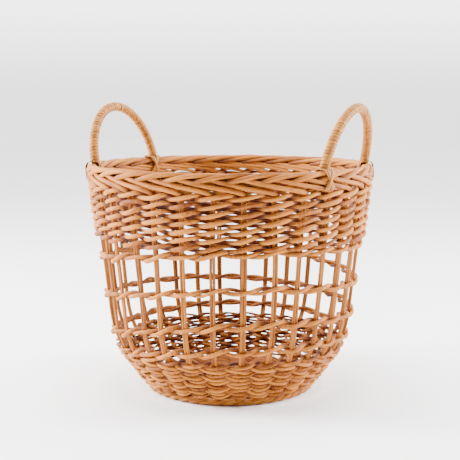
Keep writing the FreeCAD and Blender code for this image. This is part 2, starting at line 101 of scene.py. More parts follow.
def wall(height):
    """Radius of the stakes' centre line and the wall's lean, for an array of heights."""
    height = np.asarray(height, dtype=float)
    below = FOOT_RADIUS + height * math.tan(LOWER_LEAN)
    above = CORNER_RADIUS + (height - KNEE_HEIGHT) * math.tan(WALL_LEAN)
    drop = np.clip(BEND_CENTRE_HEIGHT - height, -KNEE_BEND_RADIUS, KNEE_BEND_RADIUS)
    bend = BEND_CENTRE_RADIUS + np.sqrt(KNEE_BEND_RADIUS**2 - drop**2)
    radius = np.where(height < BEND_START, below, np.where(height > BEND_END, above, bend))
    lean = np.where(
        height < BEND_START,
        LOWER_LEAN,
        np.where(height > BEND_END, WALL_LEAN, np.arcsin(drop / KNEE_BEND_RADIUS)),
    )
    return radius, lean


def on_wall(angle, height, outwards, upwards=0.0):
    """Points on the wall: an angle round it and a height, moved square to it and up along it."""
    radius, lean = wall(height)
    flat = radius + outwards * np.cos(lean) + upwards * np.sin(lean)
    rise = height - outwards * np.sin(lean) + upwards * np.cos(lean)
    return np.stack([flat * np.cos(angle), flat * np.sin(angle), rise], axis=-1)


print("wall radius at the rim: %.1f mm" % (wall(0.24)[0] * 1000))

# %% [markdown]
# ## Chance, kept the same each run
#
# No two willow rods are alike. A seeded generator gives each rod its own thickness, colour and
# wander. The wander is a sum of a few slow waves, so that a rod bends as wood does and never
# jitters.

# %% Seeded variation
chance = np.random.default_rng(7)


def wander(amount, size, waves=5):
    """A smooth random curve round the basket, as a function of angle."""
    counts = chance.integers(2, 3 + waves * 3, waves)
    phases = chance.uniform(0, 2 * math.pi, waves)
    weights = chance.normal(0, amount / math.sqrt(waves), waves)

    def curve(angle):
        return sum(w * np.sin(c * angle + p) for w, c, p in zip(weights, counts, phases)) * size

    return curve


# %% [markdown]
# ## One tree that turns paths into rods
#
# A rod is a round section swept along a path. Curve to Mesh does exactly that, so one Geometry
# Nodes tree makes every rod of the basket. The path's points carry three values: how thick the rod
# is there, how dark its wood is, and how much painted shade darkens it where it lies deep in the
# weave. The tree also stores where each vertex lies along and around its rod, so that the material
# can draw its grain lengthwise without a seam.

# %% Node helper
def add_node(tree, kind, links=None, **settings):
    """Add a node, set its properties and plain input values, and link its other inputs."""
    node = tree.nodes.new(kind)
    for name, value in settings.items():
        setattr(node, name, value)
    for name, value in (links or {}).items():
        socket = node.inputs[name]
        if isinstance(value, bpy.types.NodeSocket):
            tree.links.new(value, socket)
        else:
            socket.default_value = value
    return node


def add_inputs(tree, sockets):
    for name, kind, value in sockets:
        socket = tree.interface.new_socket(name, in_out="INPUT", socket_type=kind)
        if value is not None:
            socket.default_value = value
    tree.interface.new_socket("Geometry", in_out="OUTPUT", socket_type="NodeSocketGeometry")


# %% Parts that every sweeping tree shares
def store_at_points(tree, geometry, name, value, kind):
    """Keep a value at each point, under a name that a material can read."""
    stored = add_node(
        tree,
        "GeometryNodeStoreNamedAttribute",
        {"Geometry": geometry, "Name": name, "Value": value},
        data_type=kind,
        domain="POINT",
    )
    return stored.outputs["Geometry"]


def measured_paths(tree, mesh):
    """Turn loose edges into curves that know how far along its rod each point lies."""
    curve = add_node(tree, "GeometryNodeMeshToCurve", {"Mesh": mesh})
    place = add_node(tree, "GeometryNodeSplineParameter")
    return store_at_points(tree, curve.outputs["Curve"], "along", place.outputs["Length"], "FLOAT")


def measured_circle(tree, sides):
    """A circle of radius one that knows where each of its points lies around the rod."""
    circle = add_node(tree, "GeometryNodeCurvePrimitiveCircle", {"Resolution": sides, "Radius": 1.0})
    position = add_node(tree, "GeometryNodeInputPosition")
    outline = circle.outputs["Curve"]
    return store_at_points(tree, outline, "around", position.outputs["Position"], "FLOAT_VECTOR")


def sweep_and_dress(tree, paths, section, material):
    """Sweep the section along the paths and end the tree with a smooth mesh in its material."""
    thickness = add_node(tree, "GeometryNodeInputNamedAttribute", {"Name": "thickness"}, data_type="FLOAT")
    swept = add_node(
        tree,
        "GeometryNodeCurveToMesh",
        {
            "Curve": paths,
            "Profile Curve": section,
            "Scale": thickness.outputs["Attribute"],
            "Fill Caps": True,
        },
    )
    smooth = add_node(tree, "GeometryNodeSetShadeSmooth", {"Geometry": swept.outputs["Mesh"]})
    real = add_node(tree, "GeometryNodeRealizeInstances", {"Geometry": smooth.outputs["Geometry"]})
    dressed = add_node(
        tree, "GeometryNodeSetMaterial", {"Geometry": real.outputs["Geometry"], "Material": material}
    )
    add_node(tree, "NodeGroupOutput", {"Geometry": dressed.outputs["Geometry"]})


# %% The rod tree
def make_rod_tree():
    tree = bpy.data.node_groups.new("Sweep rods along paths", "GeometryNodeTree")
    add_inputs(
        tree,
        [
            ("Geometry", "NodeSocketGeometry", None),
            ("Sides", "NodeSocketInt", 8),
            ("Rod material", "NodeSocketMaterial", None),
        ],
    )
    given = add_node(tree, "NodeGroupInput")
    paths = measured_paths(tree, given.outputs["Geometry"])
    section = measured_circle(tree, given.outputs["Sides"])
    sweep_and_dress(tree, paths, section, given.outputs["Rod material"])
    return tree


rod_tree = make_rod_tree()
print("rod tree nodes:", len(rod_tree.nodes))


# %% [markdown]
# ## From paths to a finished piece
#
# A strand is a list of points with a thickness at each. All the strands of one piece go into one
# mesh of loose edges, the tree sweeps them, and the result is frozen as a plain mesh. Nothing is
# left live, so the piece can be exported as it is.

# %% Piece maker
def path_mesh(name, strands):
    """A mesh of open or closed chains of edges with thickness, tone and painted shade at each point."""
    mesh = bpy.data.meshes.new(name)
    points = np.concatenate([strand["points"] for strand in strands])
    edges = []
    start = 0
    for strand in strands:
        count = len(strand["points"])
        edges += [(start + i, start + i + 1) for i in range(count - 1)]
        if strand.get("closed"):
            edges.append((start + count - 1, start))
        start += count
    mesh.from_pydata(points.tolist(), edges, [])
    # The third value is painted shade: it darkens a rod's colour where the weave would shade it.
    for key in ("thickness", "tone", "painted_shade"):
        values = [np.broadcast_to(strand.get(key, 0.0), len(strand["points"])) for strand in strands]
        layer = mesh.attributes.new(key, "FLOAT", "POINT")
        layer.data.foreach_set("value", np.concatenate(values).astype(np.float32))
    return mesh


def run_tree(name, mesh, tree, values):
    """Run a tree on a mesh and return the plain mesh that it makes."""
    carrier = bpy.data.objects.new(name + "_paths", mesh)
    bpy.context.scene.collection.objects.link(carrier)
    modifier = carrier.modifiers.new("tree", "NODES")
    modifier.node_group = tree
    for item in tree.interface.items_tree:
        if item.in_out == "INPUT" and item.name in values:
            modifier[item.identifier] = values[item.name]
    graph = bpy.context.evaluated_depsgraph_get()
    result = bpy.data.meshes.new_from_object(carrier.evaluated_get(graph), depsgraph=graph)
    bpy.data.objects.remove(carrier, do_unlink=True)
    bpy.data.meshes.remove(mesh)
    return result


def finish_piece(name, mesh, nodes):
    piece = bpy.data.objects.new(name, mesh)
    bpy.context.scene.collection.objects.link(piece)
    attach(piece, "root")
    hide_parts(*nodes)
    return piece


def rods_piece(name, strands, material, nodes, sides=8):
    mesh = run_tree(name, path_mesh(name, strands), rod_tree, {"Sides": sides, "Rod material": material})
    print(f"{name}: {len(strands)} rods, {len(mesh.polygons)} faces")
    return finish_piece(name, mesh, nodes)


# %% [markdown]
# ## Willow
#
# Buff willow is boiled in its bark, which dyes the wood a warm tan, and then peeled. The surface
# is smooth, close to satin, with fine lengthwise grain, faint darker streaks and a small scar
# where each side shoot was. Rods differ in tone. The parts that dive between the stakes are
# painted darker and redder, as painted shade. Wood has an IOR near 1.5.

# %% Colour
def to_linear(colour):
    """An sRGB hex colour as linear values."""
    channels = [int(colour[i : i + 2], 16) / 255 for i in (1, 3, 5)]
    linear = [c / 12.92 if c <= 0.04045 else ((c + 0.055) / 1.055) ** 2.4 for c in channels]
    return (*linear, 1.0)


# %% Willow material
# Painted shade: where a rod dives under others its colour is multiplied by this one.
PAINTED_SHADE_COLOUR = "#6A381E"
# Real grain lines are about 0.3 mm wide and 20 mm long, too fine to show. These numbers draw them
# about 1 mm wide and 7 mm long on a rod of the usual thickness.
GRAIN_STRETCH = 55.0
GRAIN_SCALE = 2.6
BLOTCH_SCALE = 0.55
SCAR_SCALE = 0.85
# Each rod reads its own part of the pattern.
TONE_SHIFT = 91.0


def make_willow(name, pale, middle, dark, roughness, scarring=1.0):
    material = bpy.data.materials.new(name)
    material.use_nodes = True
    tree = material.node_tree
    shader = tree.nodes["Principled BSDF"]
    along = add_node(tree, "ShaderNodeAttribute", attribute_name="along")
    around = add_node(tree, "ShaderNodeAttribute", attribute_name="around")
    tone = add_node(tree, "ShaderNodeAttribute", attribute_name="tone")
    painted_shade = add_node(tree, "ShaderNodeAttribute", attribute_name="painted_shade")
    split = add_node(tree, "ShaderNodeSeparateXYZ", {"Vector": around.outputs["Vector"]})
    stretch = add_node(
        tree, "ShaderNodeMath", {0: along.outputs["Fac"], 1: GRAIN_STRETCH}, operation="MULTIPLY"
    )
    shifted = add_node(
        tree,
        "ShaderNodeMath",
        {0: tone.outputs["Fac"], 1: TONE_SHIFT, 2: stretch.outputs[0]},
        operation="MULTIPLY_ADD",
    )
    lengthwise = add_node(
        tree,
        "ShaderNodeCombineXYZ",
        {"X": shifted.outputs[0], "Y": split.outputs["X"], "Z": split.outputs["Y"]},
    )
    grain = add_node(
        tree,
        "ShaderNodeTexNoise",
        {
            "Vector": lengthwise.outputs["Vector"],
            "Scale": GRAIN_SCALE,
            "Detail": 4.0,
            "Roughness": 0.65,
        },
    )
    blotch = add_node(
        tree,
        "ShaderNodeTexNoise",
        {"Vector": lengthwise.outputs["Vector"], "Scale": BLOTCH_SCALE, "Detail": 2.0},
    )
    scars = add_node(
        tree,
        "ShaderNodeTexVoronoi",
        {"Vector": lengthwise.outputs["Vector"], "Scale": SCAR_SCALE},
    )
    scar = add_node(
        tree,
        "ShaderNodeMapRange",
        {
            "Value": scars.outputs["Distance"],
            "From Min": 0.05,
            "From Max": 0.13,
            "To Min": scarring,
            "To Max": 0.0,
        },
    )
    mixed = add_node(
        tree, "ShaderNodeMath", {0: grain.outputs["Fac"], 1: blotch.outputs["Fac"]}, operation="ADD"
    )
    toned = add_node(tree, "ShaderNodeMath", {0: mixed.outputs[0], 1: tone.outputs["Fac"]}, operation="ADD")
    level = add_node(
        tree, "ShaderNodeMapRange", {"Value": toned.outputs[0], "From Min": 0.85, "From Max": 1.8}
    )
    ramp = add_node(tree, "ShaderNodeValToRGB", {"Fac": level.outputs["Result"]})
    ramp.color_ramp.elements[0].color = to_linear(pale)
    ramp.color_ramp.elements[1].color = to_linear(dark)
    ramp.color_ramp.elements.new(0.5).color = to_linear(middle)
    scarred = add_node(
        tree,
        "ShaderNodeMix",
        {"Factor": scar.outputs["Result"], "A": ramp.outputs["Color"], "B": to_linear(dark)},
        data_type="RGBA",
    )
    # Painted shade: the colour is multiplied towards a dark red-brown where the weave would shade the rod.
    shaded_colour = add_node(
        tree,
        "ShaderNodeMix",
        {"Factor": painted_shade.outputs["Fac"], "A": scarred.outputs["Result"], "B": to_linear(PAINTED_SHADE_COLOUR)},
        data_type="RGBA",
        blend_type="MULTIPLY",
    )
    bump = add_node(
        tree,
        "ShaderNodeBump",
        {"Height": grain.outputs["Fac"], "Strength": 0.35, "Distance": 0.25 * MM},
    )
    tree.links.new(shaded_colour.outputs["Result"], shader.inputs["Base Color"])
    tree.links.new(bump.outputs["Normal"], shader.inputs["Normal"])
    shader.inputs["Roughness"].default_value = roughness
    shader.inputs["IOR"].default_value = 1.5
    # Peeled willow is fibrous, so it shines less than a smooth surface would.
    shader.inputs["Specular IOR Level"].default_value = 0.2
    return material


buff_weaver = make_willow("Buff willow weaver, peeled", "#BE7628", "#88480E", "#4C2206", 0.6)
buff_stake = make_willow("Buff willow stake, peeled", "#BC7626", "#8A4A10", "#4E2406", 0.6)
buff_base = make_willow("Buff willow base rod, peeled", "#A25C1C", "#763A0C", "#3E1A05", 0.65)
print("willow materials:", buff_weaver.name, "/", buff_stake.name, "/", buff_base.name)

# %% [markdown]
# ## Pairing
#
# The two dense bands are pairing. Each row has two rods. One passes in front of a stake and behind
# the next, the other does the opposite, and they cross in every gap with the one that is diving on
# top. On the outside each stroke is a leaf: it comes out low on the left, swells over its stake
# and goes in high on the right. A closed curve, counted in stakes, says how far out and how high
# the rod is at each step.

# %% Smooth curves
def smooth_step(value):
    """A soft ramp from 0 to 1."""
    value = np.clip(value, 0, 1)
    return value * value * (3 - 2 * value)


def ease_between(before, first, last, after, t):
    """A point between two stations on a smooth curve through their neighbours (Catmull-Rom)."""
    bend = 2 * before - 5 * first + 4 * last - after
    twist = 3 * first - before - 3 * last + after
    return 0.5 * (2 * first + (last - before) * t + bend * t**2 + twist * t**3)


def round_and_round(stations, period, count):
    """A smooth closed curve through evenly spaced stations, read at each count."""
    stations = np.array(stations, dtype=float)
    place = np.mod(count, period) / period * len(stations)
    index = place.astype(int)
    neighbours = (stations[(index + step) % len(stations)] for step in (-1, 0, 1, 2))
    return ease_between(*neighbours, place - index)


# %% The pairing stroke
# A rod comes out of a gap, swells over a stake, dives in the next gap above the rod that comes out
# there, and passes behind a stake as it sinks again. One station each quarter of a stake's step.
STROKE_OUT = [0.05, 0.9, 1.3, 1.3, 0.75, -0.45, -1.1, -0.8]
STROKE_RISE = [-1.0, -0.8, -0.1, 0.7, 1.25, 0.95, -0.1, -1.1]
STROKE_PERIOD = 2
# Each rod starts inside a stake, goes once round and a little over, and tucks in behind its start.
ROD_START = 1.35
ROD_LAP = STAKE_PAIRS + 0.6
TUCK_LENGTH = 0.9
TUCK_DEPTH = 1.15
BUTT_GIRTH = 1.06
TIP_GIRTH = 0.86
UNEVEN_STROKES = 0.07
FINE_WAVES = 9


def pairing_stroke(count):
    """Outwards (1 outside, -1 inside) and upwards (in rod radii) for a rod, counted in stakes."""
    return tuple(round_and_round(path, STROKE_PERIOD, count) for path in (STROKE_OUT, STROKE_RISE))


def taper(progress, butt, tip):
    """Thickness of one rod from its thick butt to its thin tip."""
    return butt + (tip - butt) * progress


def pairing_strands(height, direction=1, samples=9, girth=1.0):
    """The two rods of one row. direction -1 turns the strokes the other way."""
    strands = []
    for rod in range(2):
        first = 2 * chance.integers(0, STAKE_PAIRS // 2) + rod + ROD_START
        stroke = np.linspace(first, first + ROD_LAP, int(ROD_LAP * samples))
        # A weaver never spaces the strokes quite evenly.
        uneven = wander(UNEVEN_STROKES, 1.0, FINE_WAVES)(stroke * SPACING)
        out, rise = pairing_stroke(stroke - rod + uneven)
        angle = direction * (stroke - 0.5) * SPACING
        progress = np.linspace(0, 1, len(stroke))
        size = girth * PAIRING_RADIUS * taper(progress, BUTT_GIRTH, TIP_GIRTH)
        # Soaked rods press flatter where they cross, and stand full over the stakes.
        size = size * (0.8 + 0.22 * np.abs(out) + wander(0.05, 1.0, FINE_WAVES)(angle))
        size = size * (1 + 0.16 * smooth_step(-out / 0.8))
        # The tip of each rod lies on the inside of its own butt.
        tucked = smooth_step(1 - (1 - progress) * ROD_LAP / TUCK_LENGTH)
        out = out - TUCK_DEPTH * tucked
        reach = STAKE_RADIUS + size
        heights = height + wander(0.4 * MM, 1.0, FINE_WAVES)(angle)
        points = on_wall(angle, heights, out * reach, rise * PAIRING_RADIUS * girth)
        strands.append(
            {
                "points": points,
                "thickness": size,
                "tone": chance.uniform(-0.3, 0.3) + wander(0.14, 1.0, FINE_WAVES)(angle),
                # Painted shade: it is darkest where rods cross, and a little paler again on the inside.
                "painted_shade": smooth_step((0.9 - out) / 0.9) * (1 - 0.6 * smooth_step((-0.5 - out) / 0.5)),
            }
        )
    return strands


def row_height(name, lift):
    """The height of a woven row: the middle of its box in the frame, and a small lift."""
    low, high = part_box(name)
    return (low[2] + high[2]) / 2 + lift


print("a rod's swing, in rod radii: %.1f out, %.1f in" % (max(STROKE_OUT), -min(STROKE_OUT)))

# %% Upper band
UPPER_LIFT = 0.5 * MM
for number, name in enumerate(UPPER_ROWS):
    strands = pairing_strands(row_height(name, UPPER_LIFT))
    rods_piece(f"upper_band_{number + 1}", strands, buff_weaver, [name])

# %% Lower band
# The lower band is woven finer: three slim rows stand where the frame draws two.
SLIM_ROWS = 3
SLIM_GIRTH = 0.74
LOWER_LIFT = 0.9 * MM
for number in range(0, len(LOWER_ROWS), 2):
    names = LOWER_ROWS[number : number + 2]
    first, last = (row_height(name, LOWER_LIFT) for name in names)
    strands = []
    for step in range(SLIM_ROWS):
        height = (first + last) / 2 + (step - 1) * (last - first) * 2 / SLIM_ROWS
        direction = -1 if (number // 2 * SLIM_ROWS + step) % 2 else 1
        strands += pairing_strands(height, direction=direction, girth=SLIM_GIRTH)
    rods_piece(f"lower_band_{number // 2 + 1}", strands, buff_weaver, names)

# %% [markdown]
# ## The openwork spiral
#
# Between the bands two rods run round as fitching: they twist over each other in every gap and
# nip the stakes, which keeps the open stakes apart. The weaver did not close each ring but let
# the pair climb in a spiral, steep on one side of the basket and nearly level on the other.

# %% Spiral height
SPIRAL_START = math.radians(205)
# Heights in millimetres at each quarter turn: left, front, right, back, and round again.
SPIRAL_LEVELS = [45, 71, 68, 70, 70, 100.5, 95.5, 104.5, 113.5, 140, 132.5, 146, 159, 180.5, 176.5, 181, 183]


def spiral_height(turns):
    """Height of the spiral at a number of turns after its start on the left."""
    levels = np.array(SPIRAL_LEVELS) * MM
    padded = np.concatenate([[2 * levels[0] - levels[1]], levels, [levels[-1]]])
    place = np.clip(turns * 4, 0, len(levels) - 1 - 1e-6)
    index = place.astype(int)
    neighbours = (padded[index + step] for step in range(4))
    return ease_between(*neighbours, place - index)


# %% Fitching
# The pair is pieced with a new rod each time one runs out, about every 23 stakes.
STAKES_PER_ROD = 23


def fitch_strands(samples=10):
    turns = len(FITCH_TURNS)
    sag = wander(0.9 * MM, 1.0)
    strands = []
    for rod in range(2):
        count = np.linspace(0, turns * STAKE_PAIRS, int(turns * STAKE_PAIRS * samples))
        angle = SPIRAL_START + count * SPACING
        stakes_passed = angle / SPACING
        out = np.cos(math.pi * (stakes_passed + rod))
        out = np.sign(out) * np.abs(out) ** 0.8
        rise = np.sin(math.pi * (stakes_passed + rod))
        progress = np.mod(count / STAKES_PER_ROD + 0.4 * rod, 1)
        size = FITCH_RADIUS * (1.1 - 0.25 * progress)
        heights = spiral_height(count / STAKE_PAIRS) + sag(angle)
        points = on_wall(angle, heights, out * (STAKE_RADIUS + size), rise * size * 0.95)
        strands.append(
            {
                "points": points,
                "thickness": size,
                "tone": chance.uniform(-0.1, 0.1) + wander(0.12, 1.0)(angle),
                # Painted shade darkens the rod where it passes behind the stakes.
                "painted_shade": 0.7 * smooth_step((0.4 - out) / 1.3),
            }
        )
    return strands


rods_piece("fitched_spiral", fitch_strands(), buff_weaver, FITCH_TURNS)

# %% [markdown]
# ## Stakes
#
# Thirty pairs of stakes stand round the basket. A pair is a stake and its bye-stake side by side.
# They come out of the base level, are pricked up at its edge and then follow the wall. Willow
# never stands quite straight, so each pair leans and bows a little between the rows that hold it.

# %% Stake paths
STAKE_START_RADIUS = 62 * MM
STICK_HEIGHT = 9 * MM
PRICK_REACH = 12 * MM
LEVEL_SAMPLES = 4
BEND_SAMPLES = 4
UPRIGHT_SAMPLES = 34
# The base holds the stakes still, so they start to sway a little above it.
SWAY_START = 20 * MM
SWAY_REACH = 30 * MM


def stake_strands(angle, side, sway, lean):
    """One stake of a pair. Both stakes of a pair sway and lean alike."""
    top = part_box(STAKES[0])[1][2]
    bottom_turn = FOOT_RADIUS + STICK_HEIGHT * math.tan(LOWER_LEAN)
    level = np.linspace(STAKE_START_RADIUS, bottom_turn - PRICK_REACH, LEVEL_SAMPLES)
    turn = np.linspace(0, 1, BEND_SAMPLES + 2)[1:-1]
    leg = PRICK_REACH * np.array([math.sin(LOWER_LEAN), math.cos(LOWER_LEAN)])
    bend_radius = bottom_turn - PRICK_REACH * (1 - turn) ** 2 + leg[0] * turn**2
    bend_height = STICK_HEIGHT + leg[1] * turn**2
    heights = np.linspace(STICK_HEIGHT + leg[1], top, UPRIGHT_SAMPLES)
    radii, _ = wall(heights)
    radius = np.concatenate([level, bend_radius, radii])
    height = np.concatenate([np.full(LEVEL_SAMPLES, STICK_HEIGHT), bend_height, heights])
    share = np.clip(height / top, 0, 1)
    drift = sway * np.sin(math.pi * share) + lean * share**2
    bow = side * 0.4 * MM * np.sin(2 * math.pi * share * chance.uniform(1.5, 3.0)) * share
    across = side * PAIR_HALF_SPACING + (drift + bow) * smooth_step((height - SWAY_START) / SWAY_REACH)
    size = STAKE_RADIUS * (1.08 - 0.14 * share) * chance.uniform(0.95, 1.05)
    points = np.stack(
        [
            radius * math.cos(angle) - across * math.sin(angle),
            radius * math.sin(angle) + across * math.cos(angle),
            height,
        ],
        axis=-1,
    )
    return {"points": points, "thickness": size, "tone": chance.uniform(-0.25, 0.2), "painted_shade": 0.25}


# %% Stakes, pair by pair
for number, name in enumerate(STAKES):
    angle = number * SPACING
    sway = chance.normal(0, 2.0 * MM)
    lean = chance.normal(0, 1.0 * MM)
    strands = [stake_strands(angle, side, sway, lean) for side in (-1, 1)]
    rods_piece(f"stakes_{number + 1:02d}", strands, buff_stake, [name])

# %% [markdown]
# ## The border
#
# At the rim the stakes themselves make the border. One rod of each pair is bent down to the left
# and laid slanting across the outside, over two of its neighbours. Its partner goes to the right:
# it slants up the inside, comes to the front and curls over the top. Laid one after another, the
# two sets read as a plait. A stroke is a short path in the angle, radius and height of the rim,
# eased between a few named stations, and repeated for every stake.

# %% Border strokes
BORDER_LOW, BORDER_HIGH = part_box("rim_border")
BORDER_BOTTOM = BORDER_LOW[2]
BORDER_TOP = BORDER_HIGH[2]
BORDER_HALF_WIDTH = 6.25 * MM
BORDER_MIDDLE = BORDER_HIGH[0] - BORDER_HALF_WIDTH
BORDER_ROD = 2.8 * MM
STROKE_SAMPLES = 22
print("border from %.1f to %.1f mm high" % (BORDER_BOTTOM * 1000, BORDER_TOP * 1000))


def ease_through(stations, samples):
    """A smooth path through a few stations."""
    stations = np.array(stations, dtype=float)
    padded = np.vstack([2 * stations[0] - stations[1], stations, 2 * stations[-1] - stations[-2]])
    place = np.linspace(0, len(stations) - 1 - 1e-6, samples)
    index = place.astype(int)
    neighbours = (padded[index + step] for step in range(4))
    return ease_between(*neighbours, (place - index)[:, None])


def rim_stroke(angle, stations, size, tone):
    """A rod through stations of (stakes to the right, outwards from the rim's middle, height)."""
    share = np.linspace(0, 1, STROKE_SAMPLES)
    # Both ends tuck in under their neighbours, where painted shade darkens them.
    painted_shade = 0.9 - 0.85 * smooth_step(share / 0.3) * smooth_step((1 - share) / 0.25)
    path = ease_through(stations, STROKE_SAMPLES)
    turn = angle + path[:, 0] * SPACING
    radius = BORDER_MIDDLE + path[:, 1]
    points = np.stack([radius * np.cos(turn), radius * np.sin(turn), path[:, 2]], axis=-1)
    return {"points": points, "thickness": size, "tone": tone, "painted_shade": painted_shade}


def border_strands():
    strands = []
    wall_out = float(wall(BORDER_BOTTOM)[0]) - BORDER_MIDDLE
    for number in range(STAKE_PAIRS):
        angle = number * SPACING
        jitter = chance.normal(0, 0.35 * MM, 3)
        shrink = np.linspace(1.0, 0.82, STROKE_SAMPLES)
        left_down = [
            (0.10, wall_out - 0.5 * MM, BORDER_BOTTOM - 6 * MM),
            (0.0, wall_out + 2.4 * MM, BORDER_BOTTOM - 2.5 * MM),
            (-0.3, 4.0 * MM, BORDER_BOTTOM + 0.8 * MM + jitter[0]),
            (-0.95, 4.6 * MM, BORDER_BOTTOM + 4.8 * MM + jitter[0]),
            (-1.6, 4.2 * MM, BORDER_BOTTOM + 9.4 * MM + jitter[1]),
            (-2.1, 2.4 * MM, BORDER_BOTTOM + 12.6 * MM + jitter[1]),
            (-2.5, -0.2 * MM, BORDER_BOTTOM + 12.8 * MM),
        ]
        right_over = [
            (-0.85, 0.2 * MM, BORDER_BOTTOM + 8.0 * MM),
            (-0.5, 3.2 * MM, BORDER_BOTTOM + 9.4 * MM),
            (-0.15, 4.9 * MM, BORDER_TOP - 7.2 * MM + jitter[1]),
            (0.25, 4.4 * MM, BORDER_TOP - 4.1 * MM),
            (0.7, 2.2 * MM, BORDER_TOP - 2.6 * MM + jitter[2] * 0.5),
            (1.25, -0.4 * MM, BORDER_TOP - 2.9 * MM),
            (1.9, -3.4 * MM, BORDER_TOP - 4.2 * MM),
            (2.6, -4.6 * MM, BORDER_TOP - 7.6 * MM),
            (3.1, -4.0 * MM, BORDER_TOP - 10.4 * MM),
        ]
        right_up = [
            (-0.03, wall_out - 0.5 * MM, BORDER_BOTTOM - 6 * MM),
            (0.1, wall_out - 2.5 * MM, BORDER_BOTTOM - 1.5 * MM),
            (0.8, -3.6 * MM, BORDER_BOTTOM + 3.0 * MM + jitter[2]),
            (1.8, -4.4 * MM, BORDER_BOTTOM + 6.4 * MM),
            (2.8, -2.6 * MM, BORDER_BOTTOM + 10.0 * MM),
            (3.3, 0.2 * MM, BORDER_BOTTOM + 11.5 * MM),
        ]
        for stations, girth in ((left_down, 0.98), (right_over, 1.0), (right_up, 0.85)):
            size = BORDER_ROD * girth * shrink * chance.uniform(0.93, 1.07)
            strands.append(rim_stroke(angle, stations, size, chance.uniform(-0.2, 0.2)))
    return strands


rods_piece("plaited_rim", border_strands(), buff_weaver, ["rim_border"], sides=10)

# %% [markdown]
# ## The foot
#
# Under the first row a rope of three rods is worked round the foot, so that the basket stands on
# it and not on its stake ends. The rods turn round each other in a helix.

# %% Foot rope
FOOT_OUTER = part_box("foot_border")[1][0]
FOOT_ROPE_RADIUS = 2.1 * MM
FOOT_ROPE_INSET = 5.2 * MM
FOOT_PRESS = 0.2 * MM


def foot_strands(rods=3, turns=45, samples_per_turn=14):
    strands = []
    count = turns * samples_per_turn // rods * rods
    angle = np.linspace(0, 2 * math.pi, count, endpoint=False)
    centre = FOOT_OUTER - FOOT_ROPE_INSET
    twist = FOOT_ROPE_RADIUS * 1.02
    for rod in range(rods):
        phase = angle * (turns // rods) + rod * 2 * math.pi / rods
        radius = centre + 1.25 * twist * np.cos(phase)
        height = twist + FOOT_ROPE_RADIUS + 0.85 * twist * np.sin(phase) - FOOT_PRESS
        points = np.stack([radius * np.cos(angle), radius * np.sin(angle), height], axis=-1)
        strands.append(
            {
                "points": points,
                "thickness": FOOT_ROPE_RADIUS * (1 + wander(0.05, 1.0)(angle)),
                "tone": chance.uniform(-0.2, 0.2),
                "painted_shade": 0.2,
                "closed": True,
            }
        )
    return strands


rods_piece("foot_rope", foot_strands(), buff_weaver, ["foot_border"])

# %% [markdown]
# ## The base
#
# A round base starts as a slath: split sticks threaded by others to make a cross. Thin rods are
# paired round the cross, and the stick ends are opened out as spokes while the pairing goes on
# to the edge. Pairing is the same twist as fitching, laid flat.

# %% Base weave
SLATH_REACH = 23 * MM
STICK_RADIUS = 2.5 * MM
SPOKES = 15
STICK_GAP = 5.3 * MM
BASE_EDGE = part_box("base_weave_over")[1][0] - 1 * MM
SPOKE_STEP = 2 * math.pi / SPOKES
SPOKE_START = SPOKE_STEP / 4
FIRST_RING_GAP = 2.2 * MM
RING_PITCH = 3.55 * BASE_ROD_RADIUS


def base_ring_strand(radius, samples=9):
    """One ring of pairing round the spokes, as one closed rod of two laps."""
    laps = []
    for rod in range(2):
        count = np.linspace(0, SPOKES * 2, SPOKES * samples, endpoint=False)
        turn = count / (SPOKES * 2) * 2 * math.pi + SPOKE_START
        swing = math.pi * (count / 2 + rod)
        lift = np.cos(swing) * (STICK_RADIUS + BASE_ROD_RADIUS)
        flat = radius + BASE_ROD_RADIUS * 0.9 * np.sin(swing)
        # An odd count of spokes brings each rod back as its partner, so a ring of two laps closes.
        laps.append(np.stack([flat * np.cos(turn), flat * np.sin(turn), STICK_HEIGHT + lift], axis=-1))
    return {
        "points": np.concatenate(laps),
        "thickness": BASE_ROD_RADIUS * (1 + chance.uniform(-0.08, 0.08)),
        "tone": chance.uniform(-0.25, 0.25),
        "painted_shade": 0.3,
        "closed": True,
    }


def base_weave_strands():
    radius = SLATH_REACH + FIRST_RING_GAP
    strands = []
    while radius < BASE_EDGE:
        strands.append(base_ring_strand(radius))
        radius += RING_PITCH
    return strands


# %% Slath and spokes
SPOKE_SAMPLES = 6
STICK_LAYER = 2.6 * MM
SPOKE_TUCK = 3 * MM


def straight(first, last, size, tone):
    steps = np.linspace(0, 1, SPOKE_SAMPLES)[:, None]
    points = np.array(first) * (1 - steps) + np.array(last) * steps
    return {"points": points, "thickness": size, "tone": tone, "painted_shade": 0.25}


def slath_strands():
    strands = []
    for number in range(4):
        across = (number - 1.5) * STICK_GAP
        reach = math.sqrt(SLATH_REACH**2 - across**2)
        for height, along_x in ((STICK_HEIGHT - STICK_LAYER, True), (STICK_HEIGHT + STICK_LAYER, False)):
            ends = [(side * reach, across) if along_x else (across, side * reach) for side in (-1, 1)]
            tone = chance.uniform(-0.2, 0.2)
            strands.append(straight((*ends[0], height), (*ends[1], height), STICK_RADIUS, tone))
    return strands


def spoke_strands():
    strands = []
    for number in range(SPOKES):
        turn = SPOKE_START + number * SPOKE_STEP
        ends = [
            (radius * math.cos(turn), radius * math.sin(turn), STICK_HEIGHT)
            for radius in (SLATH_REACH - SPOKE_TUCK, BASE_EDGE)
        ]
        size = STICK_RADIUS * np.linspace(1.0, 0.9, SPOKE_SAMPLES)
        strands.append(straight(*ends, size, chance.uniform(-0.2, 0.2)))
    return strands


WEAVE_NODES = ["base_weave_under", "base_weave_over"]
SLATH_NODES = ["slath_sticks_under", "slath_sticks_over"]
rods_piece("base_pairing", base_weave_strands(), buff_base, WEAVE_NODES)
rods_piece("slath", slath_strands(), buff_base, SLATH_NODES, sides=10)
rods_piece("spokes", spoke_strands(), buff_base, ["base_spokes"], sides=10)

